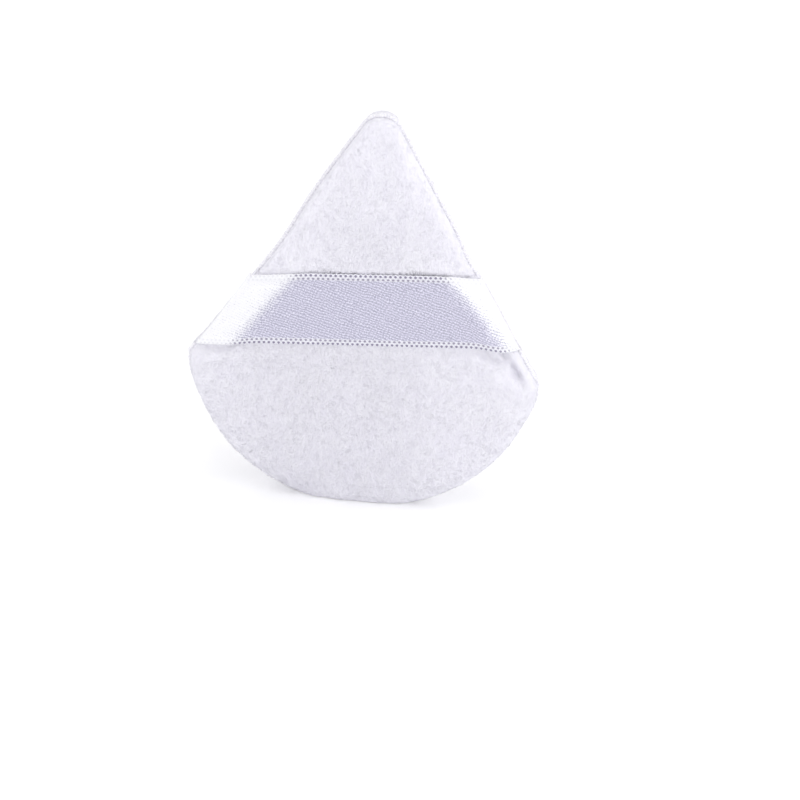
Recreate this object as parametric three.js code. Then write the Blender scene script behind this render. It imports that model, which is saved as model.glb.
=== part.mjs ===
// Velour powder puff: a rounded triangle with a satin finger ribbon, standing on its base.
// Millimetres, +Z up. X runs across the puff, Y through its depth, and the ribbon side faces -Y.
// The seam plane of the two velour panels is y = 0 while the pieces are made. At the end the whole
// puff is moved along Y, so that the origin lies under the middle of its depth.
import * as THREE from 'three';

// Overall form
const puffHeight = 82;
const puffWidth = 65;
const applicatorDepth = 9.3; // from the seam plane to the crown of the powder side
const ribbonSideDepth = 3.8; // from the seam plane to the flat face under the ribbon
const tipRadius = 4;
const cornerRadius = 1.5;
const cornerHeight = 29; // height of the two corners' centres
const footWidth = 22; // stretch of the base that is pressed flat where the puff stands

// Velour panels
const velourThickness = 1;
const seamAllowance = 4; // how far the turned-in edges reach inside from the outline
const lipInset = 0.35; // how far the folded edges stay behind the edge stitching
const lipRadius = 0.5;

// Edge stitching and ribbon
const stitchingRadius = 0.5;
const stitchPitch = 2.4;
const stitchEndGap = 0.8;
const ribbonWidth = 15;
const ribbonThickness = 0.4;
const ribbonHeight = 43.9; // where the ribbon's middle line crosses the axis of the puff
const ribbonTilt = THREE.MathUtils.degToRad(4.9);
const ribbonEndDrop = 2.3; // how far its ends turn down between the flat face and the seam

// Room between pieces that touch
const clearance = 0.3;

// Softness of the form
const applicatorFullness = 2.4; // exponent of the domed side's section, 2 is an ellipse
const ribbonSideFullness = 2.2;
const applicatorShoulderShare = 0.92; // of the deepest inset
const ribbonSideShoulderShare = 0.32;
const tipThinningShare = 0.3; // of the powder side's depth, lost at the tip
const roundingShare = 0.75; // how much a corner's radius grows with the inset
const roomShare = 0.6; // of the room left inside, the most that a radius may take
const grooveShares = { inset: 0.7, rise: 1 }; // of the lip's radius, where the seam pulls the wall in
const shoulderRoomShare = 3; // of the clearance, where the core's wall leans back under the cover
const stitchValleyShare = 0.8; // of the stitching's radius, between two stitches

// Mesh resolution
const steps = { foot: 3, base: 9, corner: 5, side: 7, tip: 4 };
const wallAngles = [9, 21.7, 36, 53, 72, 90];
const innerWallAngles = [0, 22, 42, 64, 90];
const shoulderAngles = [15, 36, 60, 90];
const lipAngles = [0, 45, 90];
const stitchingSides = 6;

const slitHalf = stitchingRadius + clearance; // half the space between the two folded edges
const lipY = slitHalf + lipRadius;

const degrees = (angle) => THREE.MathUtils.degToRad(angle);
const range = (count) => Array.from({ length: count }, (_, i) => i);
const blend = (from, to, share) => from + (to - from) * share;

// The side runs straight between the tip arc and the corner arc, as their common outer tangent.
const cornerX = puffWidth / 2 - cornerRadius;
const tipZ = puffHeight - tipRadius;
const centreLine = new THREE.Vector2(cornerX, cornerHeight - tipZ);
const normalAngle = centreLine.angle() - 2 * Math.PI
  + Math.acos((tipRadius - cornerRadius) / centreLine.length());
const sideNormal = new THREE.Vector2(Math.cos(normalAngle), Math.sin(normalAngle));
const sideReach = sideNormal.y * tipZ + tipRadius; // distance of the side from the origin

// The base arc touches both corner arcs from outside and crosses the floor at the foot's two ends.
const baseRadius = findBaseRadius();
const baseZ = Math.sqrt(baseRadius ** 2 - (footWidth / 2) ** 2);
const footSag = baseRadius - baseZ; // how deep the pressed stretch would reach if it were round
const footAngle = Math.asin(footWidth / 2 / baseRadius);

// The deepest inset is where the two sides and the base arc are equally far away.
const middleZ = (sideReach - footSag) / (1 + sideNormal.y);
const deepestInset = middleZ + footSag;
const ribbonSideShoulder = ribbonSideShoulderShare * deepestInset;

// Root of |corner centre - base centre| = base radius - corner radius, with the foot's chord at z = 0
function findBaseRadius() {
  const halfFoot = footWidth / 2;
  const known = cornerX ** 2 + cornerHeight ** 2 - halfFoot ** 2 - cornerRadius ** 2;
  const a = cornerHeight ** 2 - cornerRadius ** 2;
  const b = known * cornerRadius;
  const c = known ** 2 / 4 + cornerHeight ** 2 * halfFoot ** 2;
  return (b + Math.sqrt(b ** 2 + 4 * a * c)) / (2 * a);
}

// A corner keeps its centre across the seam and softens further in, as far as there is room for it.
function radiusAt(radius, inset) {
  const seam = Math.min(inset, lipInset + lipRadius);
  const softened = radius - seam + roundingShare * (inset - seam);
  return Math.min(softened, roomShare * (deepestInset - inset));
}

// Right half of the outline, moved inward by inset, from the middle of the base up to the tip
function halfOutline(inset) {
  const tip = radiusAt(tipRadius, inset);
  const corner = radiusAt(cornerRadius, inset);
  const reach = sideReach - inset;
  const tipCentre = (reach - tip) / sideNormal.y;
  const fromBase = reach - corner - sideNormal.y * baseZ;
  const along = Math.sqrt(Math.max((baseRadius - inset - corner) ** 2 - fromBase ** 2, 0));
  const centre = new THREE.Vector2(
    fromBase * sideNormal.x + along * sideNormal.y,
    baseZ + fromBase * sideNormal.y - along * sideNormal.x,
  );
  const down = -Math.PI / 2;
  const cornerStart = Math.atan2(centre.y - baseZ, centre.x);
  const on = (x, z, radius, angle) => [x + radius * Math.cos(angle), z + radius * Math.sin(angle)];
  const base = baseRadius - inset;
  const points = [];
  for (const i of range(steps.foot)) points.push(on(0, baseZ, base, down + footAngle * i / steps.foot));
  for (const i of range(steps.base)) {
    points.push(on(0, baseZ, base, blend(down + footAngle, cornerStart, i / steps.base)));
  }
  for (const i of range(steps.corner)) {
    const angle = blend(cornerStart, normalAngle, i / steps.corner);
    points.push(on(centre.x, centre.y, corner, angle));
  }
  const sideFrom = on(centre.x, centre.y, corner, normalAngle);
  const sideTo = on(0, tipCentre, tip, normalAngle);
  for (const i of range(steps.side)) {
    const share = i / steps.side;
    points.push([blend(sideFrom[0], sideTo[0], share), blend(sideFrom[1], sideTo[1], share)]);
  }
  for (const i of range(steps.tip + 1)) {
    points.push(on(0, tipCentre, tip, blend(normalAngle, Math.PI / 2, i / steps.tip)));
  }
  return points;
}

// The whole outline as a ring, from the middle of the base round over the tip and back
function outline(inset) {
  const right = halfOutline(inset);
  const left = right.slice(1, -1).reverse().map(([x, z]) => [-x, z]);
  return [...right, ...left];
}

// The powder side thins towards the tip.
function depthFactor(z) {
  const share = THREE.MathUtils.clamp((z - cornerHeight) / (puffHeight - cornerHeight), 0, 1);
  return 1 - tipThinningShare * share ** 2;
}

// One ring of a panel or of the core: an inset outline at the depth y, nowhere below the floor
function ring({ inset, y, floor = 0 }) {
  return outline(inset).map(([x, z]) => {
    const height = Math.max(z, floor);
    return new THREE.Vector3(x, typeof y === 'function' ? y(height) : y, height);
  });
}

// Section of a padded side: a quarter of a superellipse, from (startInset, startY) in to the crown
function paddedSection({ angles, startInset, endInset, startY, depthAt, fullness, floor, side }) {
  return angles.map((angle) => {
    const inward = 1 - Math.max(Math.cos(degrees(angle)), 0) ** (2 / fullness);
    const rise = Math.sin(degrees(angle)) ** (2 / fullness);
    return {
      inset: blend(startInset, endInset, inward),
      y: (z) => side * blend(startY, depthAt(z), rise),
      floor,
    };
  });
}

// Folded edge of a panel, from the inside of the seam allowance out to the lip
function foldedEdge(side) {
  const lip = lipAngles.map((angle) => ({
    inset: lipInset + lipRadius * (1 - Math.sin(degrees(angle))),
    y: side * (lipY - lipRadius * Math.cos(degrees(angle))),
  }));
  return [{ inset: seamAllowance, y: side * slitHalf }, ...lip];
}

// Closed surface through a row of rings, each end closed by a fan to the middle of its ring
function loft(rings) {
  const count = rings[0].length;
  const positions = rings.flat().flatMap((p) => p.toArray());
  const triangles = [];
  for (const r of range(rings.length - 1)) {
    for (const i of range(count)) {
      const a = r * count + i;
      const b = r * count + (i + 1) % count;
      triangles.push(a, b, b + count, a, b + count, a + count);
    }
  }
  for (const [r, forward] of [[0, false], [rings.length - 1, true]]) {
    const middle = rings[r].reduce((sum, p) => sum.add(p), new THREE.Vector3()).divideScalar(count);
    const centre = positions.length / 3;
    positions.push(...middle.toArray());
    for (const i of range(count)) {
      const a = r * count + i;
      const b = r * count + (i + 1) % count;
      triangles.push(centre, ...(forward ? [a, b] : [b, a]));
    }
  }
  const geometry = new THREE.BufferGeometry();
  geometry.setAttribute('position', new THREE.Float32BufferAttribute(positions, 3));
  geometry.setIndex(volume(positions, triangles) < 0 ? triangles.reverse() : triangles);
  geometry.computeVertexNormals();
  return geometry;
}

// Six times the enclosed volume, positive where the faces point out
function volume(positions, triangles) {
  const corner = (i) => new THREE.Vector3().fromArray(positions, 3 * i);
  let sum = 0;
  for (let i = 0; i < triangles.length; i += 3) {
    sum += corner(triangles[i]).dot(corner(triangles[i + 1]).cross(corner(triangles[i + 2])));
  }
  return sum;
}

// Domed velour panel that carries the powder, with its edge turned in at the seam
function applicatorCover() {
  const side = 1;
  const shared = { endInset: applicatorShoulderShare * deepestInset, fullness: applicatorFullness, side };
  const inner = paddedSection({
    ...shared,
    angles: innerWallAngles,
    startInset: lipInset + velourThickness,
    startY: slitHalf + velourThickness,
    depthAt: (z) => applicatorDepth * depthFactor(z) - velourThickness,
    floor: velourThickness,
  }).reverse();
  const turnedIn = { inset: seamAllowance, y: side * (slitHalf + velourThickness) };
  const groove = {
    inset: lipInset + grooveShares.inset * lipRadius,
    y: side * (lipY + grooveShares.rise * lipRadius),
  };
  const outer = paddedSection({
    ...shared,
    angles: wallAngles,
    startInset: lipInset,
    startY: lipY,
    depthAt: (z) => applicatorDepth * depthFactor(z),
    floor: 0,
  });
  return loft([...inner, turnedIn, ...foldedEdge(side), groove, ...outer].map(ring));
}

// Section of the ribbon side's outer face, from inside the seam allowance to the flat middle
function ribbonSideSection() {
  return [...foldedEdge(-1), ...paddedSection({
    angles: shoulderAngles,
    startInset: lipInset,
    endInset: ribbonSideShoulder,
    startY: lipY,
    depthAt: () => ribbonSideDepth,
    fullness: ribbonSideFullness,
    floor: 0,
    side: -1,
  })];
}

// Shallow velour panel under the ribbon, flat in the middle, doubled along the seam
function ribbonSideCover() {
  const inner = { inset: seamAllowance, y: velourThickness - ribbonSideDepth, floor: velourThickness };
  return loft([inner, ...ribbonSideSection()].map(ring));
}

// Sponge pad that fills the cover, stepped back where the seam allowances lie
function foamCore() {
  const window = seamAllowance + clearance;
  const step = slitHalf + velourThickness + clearance;
  const floor = velourThickness + clearance;
  const domed = paddedSection({
    angles: innerWallAngles,
    startInset: lipInset + velourThickness + shoulderRoomShare * clearance,
    endInset: applicatorShoulderShare * deepestInset,
    startY: step,
    depthAt: (z) => applicatorDepth * depthFactor(z) - velourThickness - clearance,
    fullness: applicatorFullness,
    floor,
    side: 1,
  });
  const flat = { inset: window, y: velourThickness + clearance - ribbonSideDepth, floor };
  return loft([flat, { inset: window, y: step, floor }, ...domed].map(ring));
}

// A section line moved away from the panel by distance, with mitred corners
function offsetSection(points, distance) {
  const normals = range(points.length - 1).map((i) => {
    const run = points[i + 1].clone().sub(points[i]).normalize();
    return new THREE.Vector2(run.y, -run.x);
  });
  return points.map((point, i) => {
    const before = normals[Math.max(i - 1, 0)];
    const after = normals[Math.min(i, normals.length - 1)];
    const mitre = before.clone().add(after).multiplyScalar(distance / (1 + before.dot(after)));
    return point.clone().add(mitre);
  });
}

// Where one of the ribbon's edges crosses the straight side at an inset: hand is 1 on the right
// and -1 on the left, edge is 1 for the upper edge and -1 for the lower one
function ribbonCrossing(hand, edge, inset, beyond = 0) {
  const slope = Math.tan(ribbonTilt);
  const drop = ribbonEndDrop * Math.max(1 - inset / ribbonSideShoulder, 0);
  const height = ribbonHeight - drop + edge * (ribbonWidth / 2 + beyond) / Math.cos(ribbonTilt);
  const across = (sideReach - inset - sideNormal.y * height) / (sideNormal.x + hand * sideNormal.y * slope);
  return new THREE.Vector2(hand * across, height + hand * across * slope);
}

// The ribbon's edge carried along one offset of the panel's section. Past the fold round the lip
// the ribbon runs back into the seam, mirrored about the slanted side.
function ribbonEdge(section, hand, edge) {
  const foldInset = Math.min(...section.map((p) => p.x));
  const run = ribbonCrossing(hand, edge, foldInset)
    .sub(ribbonCrossing(hand, edge, ribbonSideShoulder)).normalize();
  const normal = new THREE.Vector2(hand * sideNormal.x, sideNormal.y);
  const outward = run.dot(normal);
  const tucked = run.clone().addScaledVector(normal, -2 * outward);
  const fold = section.findIndex((p) => p.x === foldInset);
  return section.map((p, i) => {
    const place = i < fold
      ? ribbonCrossing(hand, edge, foldInset).addScaledVector(tucked, (p.x - foldInset) / outward)
      : ribbonCrossing(hand, edge, p.x);
    return new THREE.Vector3(place.x, p.y, place.y);
  });
}

// Satin ribbon: out of the seam on one side, over the flat face and into the seam on the other
function ribbonBand() {
  const section = ribbonSideSection().map(({ inset, y }) => (
    new THREE.Vector2(inset, typeof y === 'function' ? y(ribbonHeight) : y)));
  const inner = offsetSection(section, clearance);
  const outer = offsetSection(section, clearance + ribbonThickness);
  const half = (hand) => {
    const edges = [[inner, -1], [inner, 1], [outer, 1], [outer, -1]];
    const lines = edges.map(([line, edge]) => ribbonEdge(line, hand, edge));
    return section.map((_, i) => lines.map((line) => line[i]));
  };
  return loft([...half(-1), ...half(1).reverse()]);
}

// Points along a line at equal distances, with the direction that the line has there
function walk(points, count) {
  const path = new THREE.CurvePath();
  for (const i of range(points.length - 1)) path.add(new THREE.LineCurve(points[i], points[i + 1]));
  return range(count + 1).map((i) => {
    const along = THREE.MathUtils.clamp(i / count, 0, 1);
    return { at: path.getPointAt(along), run: path.getTangentAt(along) };
  });
}

// Whipped edge stitching: a cord of thread in the slit between the folded edges, swelling at each stitch
function edgeStitching(points) {
  const length = points.slice(1).reduce((sum, p, i) => sum + p.distanceTo(points[i]), 0);
  const stitches = Math.round(length / stitchPitch);
  return loft(walk(points, 2 * stitches).map(({ at, run }, i) => {
    const radius = stitchingRadius * (i % 2 ? 1 : stitchValleyShare);
    return range(stitchingSides).map((s) => {
      const turn = 2 * Math.PI * s / stitchingSides;
      const out = radius * Math.cos(turn);
      return new THREE.Vector3(
        at.x + out * run.y, radius * Math.sin(turn), Math.max(at.y - out * run.x, 0));
    });
  }));
}

// Seam line for the stitching, from the left end to the right end, round the base or over the tip
function seamPath(edge) {
  const tuckRoom = edge < 0 ? 2 * sideNormal.y * (2 * stitchingRadius + clearance + ribbonThickness) : 0;
  const room = stitchEndGap + tuckRoom;
  const ends = [-1, 1].map((hand) => ribbonCrossing(hand, edge, stitchingRadius, room));
  const right = halfOutline(stitchingRadius).map(([x, z]) => (
    new THREE.Vector2(x, Math.max(z, stitchingRadius))));
  const kept = (hand) => right.filter((p) => edge * p.y > edge * ends[(hand + 1) / 2].y)
    .map((p) => new THREE.Vector2(hand * p.x, p.y));
  const left = edge < 0 ? kept(-1).reverse() : kept(-1);
  const onwards = edge < 0 ? kept(1).slice(1) : kept(1).reverse().slice(1);
  return [ends[0], ...left, ...onwards, ends[1]];
}

const velour = { color: 0xf2f1f9, roughness: 1, metalness: 0 };
const finishes = {
  applicator_cover: velour,
  ribbon_side_cover: velour,
  foam_core: { color: 0xf3efe2, roughness: 0.95, metalness: 0 },
  ribbon_band: { color: 0xe4e2f0, roughness: 0.35, metalness: 0 },
  edge_stitching_base: { color: 0xf7f6fb, roughness: 0.9, metalness: 0 },
  edge_stitching_tip: { color: 0xf7f6fb, roughness: 0.9, metalness: 0 },
};

const geometries = {
  applicator_cover: applicatorCover(),
  ribbon_side_cover: ribbonSideCover(),
  foam_core: foamCore(),
  ribbon_band: ribbonBand(),
  edge_stitching_base: edgeStitching(seamPath(-1)),
  edge_stitching_tip: edgeStitching(seamPath(1)),
};

const puff = new THREE.Group();
for (const [name, geometry] of Object.entries(geometries)) {
  const mesh = new THREE.Mesh(geometry, new THREE.MeshStandardMaterial(finishes[name]));
  mesh.name = name;
  puff.add(mesh);
}
puff.position.y = (ribbonSideDepth + clearance + ribbonThickness - applicatorDepth) / 2;

export default puff;
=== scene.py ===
import math

import bpy
import numpy as np
from mathutils import Matrix, Vector


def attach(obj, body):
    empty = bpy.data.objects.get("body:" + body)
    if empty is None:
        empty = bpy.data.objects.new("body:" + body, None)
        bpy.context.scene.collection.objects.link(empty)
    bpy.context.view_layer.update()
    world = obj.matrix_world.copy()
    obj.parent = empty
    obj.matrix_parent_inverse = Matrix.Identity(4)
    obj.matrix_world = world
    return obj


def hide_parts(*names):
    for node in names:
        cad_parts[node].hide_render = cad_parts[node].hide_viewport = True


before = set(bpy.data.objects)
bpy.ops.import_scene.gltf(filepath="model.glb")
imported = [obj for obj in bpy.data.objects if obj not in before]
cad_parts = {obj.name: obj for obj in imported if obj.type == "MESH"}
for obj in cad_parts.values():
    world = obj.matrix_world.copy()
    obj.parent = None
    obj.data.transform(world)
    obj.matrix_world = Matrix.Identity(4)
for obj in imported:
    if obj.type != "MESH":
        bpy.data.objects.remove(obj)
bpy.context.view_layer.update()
scene = bpy.context.scene
mm = 0.001

# The puff's outline, in millimetres, seen along Y
form = {
    "height": 82, "width": 65, "tip": 4, "corner": 1.5, "cornerHeight": 29,
    "foot": 22,  # width of the flat stretch at the bottom of the outline
    "rounding": 0.75, "room": 0.6, "seam": 0.85,  # how the corners soften away from the seam
    "seamY": -2.4,  # the seam's plane in the row frame
    # where the outline gives a little: hand, amount outward, height and reach of each place
    "gives": [(-1, -1.1, 53, 9), (1, -0.6, 54, 4), (-1, 0.65, 26.5, 6), (1, 0.5, 26, 4)],
    "givesFrom": (3, 14),  # how far from the middle line that begins and is whole
    "counts": {"foot": 20, "base": 78, "corner": 16, "side": 116, "tip": 26},
}

cornerX, tipZ = form["width"] / 2 - form["corner"], form["height"] - form["tip"]
spread = math.hypot(cornerX, tipZ - form["cornerHeight"])
sideAngle = (math.acos((form["tip"] - form["corner"]) / spread)
             - math.atan2(tipZ - form["cornerHeight"], cornerX))
sideX, sideZ = math.cos(sideAngle), math.sin(sideAngle)
sideReach = sideZ * tipZ + form["tip"]
known = cornerX ** 2 + form["cornerHeight"] ** 2 - form["foot"] ** 2 / 4 - form["corner"] ** 2
lead = form["cornerHeight"] ** 2 - form["corner"] ** 2
rest = known ** 2 / 4 + form["cornerHeight"] ** 2 * form["foot"] ** 2 / 4
product = known * form["corner"]
baseRadius = (product + math.sqrt(product ** 2 + 4 * lead * rest)) / (2 * lead)  # its arc meets the corner's
baseZ = math.sqrt(baseRadius ** 2 - form["foot"] ** 2 / 4)
middleZ = (sideReach + baseZ - baseRadius) / (1 + sideZ)
deepest = middleZ + baseRadius - baseZ


# Rings of the outline moved inward by each inset: base arc, corner arc, straight side and tip arc,
# each divided evenly, on the right half and mirrored on the left
def outline(insets, scale=1.0):
    inset = np.asarray(insets, float)[:, None]
    seam = np.minimum(inset, form["seam"])
    radius = {k: np.minimum(form[k] - seam + form["rounding"] * (inset - seam),
                            form["room"] * (deepest - inset)) for k in ("tip", "corner")}
    count = {k: max(2, round(n * scale)) for k, n in form["counts"].items()}
    step = {k: np.arange(n + (k == "tip")) / n for k, n in count.items()}
    footAngle = math.asin(form["foot"] / 2 / baseRadius)
    fromBase = sideReach - inset - radius["corner"] - sideZ * baseZ
    along = np.sqrt(np.maximum((baseRadius - inset - radius["corner"]) ** 2 - fromBase ** 2, 0))
    centre = fromBase * sideX + along * sideZ, baseZ + fromBase * sideZ - along * sideX
    start = np.arctan2(centre[1] - baseZ, centre[0])
    tipCentre = (sideReach - inset - radius["tip"]) / sideZ
    arcs = [
        (0, baseZ, baseRadius - inset, -math.pi / 2 + footAngle * step["foot"]),
        (0, baseZ, baseRadius - inset, (footAngle - math.pi / 2) * (1 - step["base"]) + start * step["base"]),
        (*centre, radius["corner"], start * (1 - step["corner"]) + sideAngle * step["corner"]),
    ]
    tip = (0, tipCentre, radius["tip"], sideAngle * (1 - step["tip"]) + math.pi / 2 * step["tip"])
    lower = [(x + r * np.cos(a), z + r * np.sin(a)) for x, z, r, a in arcs]
    upper = tip[2] * np.cos(tip[3]), tip[1] + tip[2] * np.sin(tip[3])
    ends = [(centre[i] + radius["corner"] * (sideX, sideZ)[i], upper[i][:, :1]) for i in (0, 1)]
    side = [a * (1 - step["side"]) + b * step["side"] for a, b in ends]
    x, z = (np.concatenate([*(p[i] for p in lower), side[i], upper[i]], 1) for i in (0, 1))
    x, z = np.concatenate([x, -x[:, -2:0:-1]], 1), np.concatenate([z, z[:, -2:0:-1]], 1)
    for hand, amount, height, reach in form["gives"]:
        x = x + hand * amount * np.exp(-((z - height) / reach) ** 2) * ease(*form["givesFrom"], hand * x)
    return x, z


# A smooth random field: many plane waves of about one wavelength in random directions, summed and
# divided by the root of their number
def waves(x, z, wavelength, seed, count=14):
    r = np.random.default_rng(seed)
    angle, phase = r.uniform(0, 2 * math.pi, (2, count))
    number = 2 * math.pi / (wavelength * r.uniform(0.7, 1.5, count))
    parts = (np.sin(n * (x * math.cos(a) + z * math.sin(a)) + p)
             for a, p, n in zip(angle, phase, number))
    return sum(parts) / math.sqrt(count)


# Smooth step from 0 at a to 1 at b
def ease(a, b, value):
    t = np.clip((value - a) / (b - a), 0, 1)
    return t * t * (3 - 2 * t)


# True where a value lies between two limits
def between(value, limits):
    return (value > limits[0]) & (value < limits[1])


# A bump of height 1, a and b wide, turned by an angle
def spot(x, z, centre, size, turn):
    dx, dz = x - centre[0], z - centre[1]
    a, b = dx * math.cos(turn) + dz * math.sin(turn), dz * math.cos(turn) - dx * math.sin(turn)
    return np.exp(-(a / size[0]) ** 2 - (b / size[1]) ** 2)


# Helpers for meshes and materials

# A mesh from points in millimetres about the seam's plane, and faces of three or four corners
def makeMesh(name, points, faceLists, material, body="root", uv=None):
    mesh = bpy.data.meshes.new(name)
    placed = (points + [0, form["seamY"], 0]) * mm
    mesh.vertices.add(len(placed))
    mesh.vertices.foreach_set("co", placed.astype(np.float32).ravel())
    corners = np.concatenate([f.ravel() for f in faceLists]).astype(np.int32)
    sizes = np.concatenate([np.full(len(f), f.shape[1]) for f in faceLists])
    mesh.loops.add(len(corners))
    mesh.loops.foreach_set("vertex_index", corners)
    mesh.polygons.add(len(sizes))
    mesh.polygons.foreach_set("loop_start", np.concatenate([[0], np.cumsum(sizes)[:-1]]).astype(np.int32))
    mesh.update(calc_edges=True)
    mesh.validate()
    mesh.polygons.foreach_set("use_smooth", np.ones(len(mesh.polygons), bool))
    if uv is not None:
        layer = mesh.uv_layers.new(name="UVMap")
        layer.data.foreach_set("uv", uv[corners].astype(np.float32).ravel())
    mesh.materials.append(material)
    piece = bpy.data.objects.new(name, mesh)
    scene.collection.objects.link(piece)
    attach(piece, body)
    return piece


# Faces between neighbouring rings of points
def gridFaces(rows, columns):
    r, c = np.meshgrid(np.arange(rows - 1), np.arange(columns), indexing="ij")
    a, b = r * columns + c, r * columns + (c + 1) % columns
    return np.stack([a, b, b + columns, a + columns], -1).reshape(-1, 4)


# A fan that closes a ring of points to one more point
def fanFaces(first, columns, centre):
    c = np.arange(columns)
    return np.stack([first + c, first + (c + 1) % columns, np.full(columns, centre)], -1)


# Six times the enclosed volume, positive where the faces point out
def enclosed(points, faceLists):
    total = 0.0
    for f in faceLists:
        for k in range(1, f.shape[1] - 1):
            a, b, c = points[f[:, 0]], points[f[:, k]], points[f[:, k + 1]]
            total += float((a * np.cross(b, c)).sum())
    return total


# A closed surface through rings of points, with a fan at each end, facing outward
def closedRings(rings):
    rows, columns = rings.shape[:2]
    points = np.concatenate([rings.reshape(-1, 3), rings[0].mean(0)[None], rings[-1].mean(0)[None]])
    centre = rows * columns
    faces = [gridFaces(rows, columns), fanFaces(0, columns, centre)[:, ::-1],
             fanFaces((rows - 1) * columns, columns, centre + 1)]
    if enclosed(points, faces) < 0:
        faces = [f[:, ::-1] for f in faces]
    return points, faces


# Unit normals of a grid of points closed round its rows
def gridNormals(grid):
    along = np.roll(grid, -1, 1) - np.roll(grid, 1, 1)
    across = np.gradient(grid, axis=0)
    normal = np.cross(along, across)
    return normal / np.maximum(np.linalg.norm(normal, axis=-1, keepdims=True), 1e-9)


# A shader value: arithmetic on it adds Math nodes
class Term:
    def __init__(self, tree, socket):
        self.tree, self.socket = tree, socket

    def math(self, operation, *others, turned=False):
        node = self.tree.nodes.new("ShaderNodeMath")
        node.operation = operation
        values = [self, *others]
        for slot, value in zip(node.inputs, values[::-1] if turned else values):
            plug(self.tree, slot, value)
        return Term(self.tree, node.outputs[0])

    def __add__(self, other):
        return self.math("ADD", other)

    def __radd__(self, other):
        return self.math("ADD", other, turned=True)

    def __sub__(self, other):
        return self.math("SUBTRACT", other)

    def __rsub__(self, other):
        return self.math("SUBTRACT", other, turned=True)

    def __mul__(self, other):
        return self.math("MULTIPLY", other)

    def __truediv__(self, other):
        return self.math("DIVIDE", other)


# Links a term, or sets a plain value, on a socket
def plug(tree, socket, value):
    if isinstance(value, Term):
        tree.links.new(value.socket, socket)
    else:
        socket.default_value = value


# A material that is built up from nodes
class Finish:
    def __init__(self, name):
        self.material = bpy.data.materials.new(name)
        self.material.use_nodes = True
        self.tree = self.material.node_tree
        self.shader = self.tree.nodes["Principled BSDF"]

    def node(self, kind, settings=(), output=0, **values):
        node = self.tree.nodes.new("ShaderNode" + kind)
        for key, value in dict(settings).items():
            setattr(node, key, value)
        for key, value in values.items():
            socket = node.inputs[int(key[1:])] if key[1:].isdigit() else node.inputs[key.replace("_", " ")]
            plug(self.tree, socket, value)
        return Term(self.tree, node.outputs[output])

    def position(self):
        return self.node("TexCoord", output="Object")

    def noise(self, size, detail=2.0, stretch=(1, 1, 1)):
        scaled = self.node("Mapping", Vector=self.position(), Scale=[s / (size * mm) for s in stretch])
        return self.node("TexNoise", Vector=scaled, Scale=1.0, Detail=detail, Roughness=0.5)

    def ramp(self, value, low, high):
        return self.node("MapRange", {"interpolation_type": "SMOOTHSTEP"}, Value=value, i1=low, i2=high)

    def mix(self, factor, a, b):
        return self.node("Mix", {"data_type": "RGBA"}, output=2, i0=factor, i6=a, i7=b)

    def bump(self, height, distance, strength):
        return self.node("Bump", Height=height, Distance=distance * mm, Strength=strength)

    def set(self, **values):
        for key, value in values.items():
            plug(self.tree, self.shader.inputs[key.replace("_", " ")], value)
        return self.material


# A colour written in 0 to 255, as a linear one
def shade(*rgb):
    c = np.asarray(rgb, float) / 255
    return (*np.where(c <= 0.04045, c / 12.92, ((c + 0.055) / 1.055) ** 2.4), 1.0)


# Materials

# Painted shade on the velour: where it lies, how it fades, and the colour it is mixed towards
paintedShade = {
    "right": (2, 22, 0.75), "left": (-12, -30, 0.7),  # where it fades towards each side, and how much
    "below": (42, 34), "above": ((44, 50), (74, 54)), "middle": (15, 3),
    "belowShare": 0.135, "aboveShare": 0.08, "colour": (150, 148, 158),
}


# Painted shade: below the ribbon the velour is painted a shade darker, most of all in the middle, where less
# light reaches it, and a little of this painted shade is put in the middle above the ribbon.
def paintShade(finish, colour):
    place = finish.node("SeparateXYZ", Vector=finish.position()).socket.node
    x, z = (Term(finish.tree, place.outputs[i]) for i in (0, 2))

    def fade(value, limits):
        return finish.ramp(value, limits[0] * mm, limits[1] * mm)

    beside = fade(x, paintedShade["right"]) * paintedShade["right"][2] + fade(x, paintedShade["left"]) * paintedShade["left"][2]
    low = fade(z, paintedShade["below"]) * (1 - beside) * paintedShade["belowShare"]
    high = fade(z, paintedShade["above"][0]) * fade(z, paintedShade["above"][1]) * fade(x.math("ABSOLUTE"), paintedShade["middle"])
    return finish.mix(low + high * paintedShade["aboveShare"], colour, shade(*paintedShade["colour"]))


def velourFinish(name, light, dark, streakShare):
    finish = Finish(name)
    fine = finish.noise(0.42, 3.0, (1, 1, 0.6))
    streak = finish.noise(1.1, 3.0, (1, 1, 0.35))
    patch = finish.noise(7.0, 2.0)
    tone = finish.ramp(fine * 0.4 + streak * streakShare + patch * (0.6 - streakShare), 0.34, 0.66)
    # The velour's colour gets painted shade below the ribbon and in the middle above it
    colour = paintShade(finish, finish.mix(tone, shade(*dark), shade(*light)))
    height = fine * 0.6 + streak * 0.4
    return finish.set(Base_Color=colour, Roughness=0.95, Specular_IOR_Level=0.15, Sheen_Weight=0.25,
                      Sheen_Roughness=0.45, Sheen_Tint=(1, 1, 1, 1), Normal=finish.bump(height, 0.22, 0.8))


def pileFinish(name, light, dark):
    finish = Finish(name)
    tuft = finish.noise(0.6, 2.0, (1, 1, 0.6))
    streak = finish.noise(1.3, 2.0, (1, 1, 0.22))
    patch = finish.noise(7.0, 2.0, (1, 1, 0.7))
    tone = finish.ramp(tuft * 0.35 + streak * 0.35 + patch * 0.3, 0.36, 0.64)
    # The pile's colour gets the same painted shade
    colour = paintShade(finish, finish.mix(tone, shade(*dark), shade(*light)))
    return finish.set(Base_Color=colour, Roughness=0.9, Specular_IOR_Level=0.15)
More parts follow.
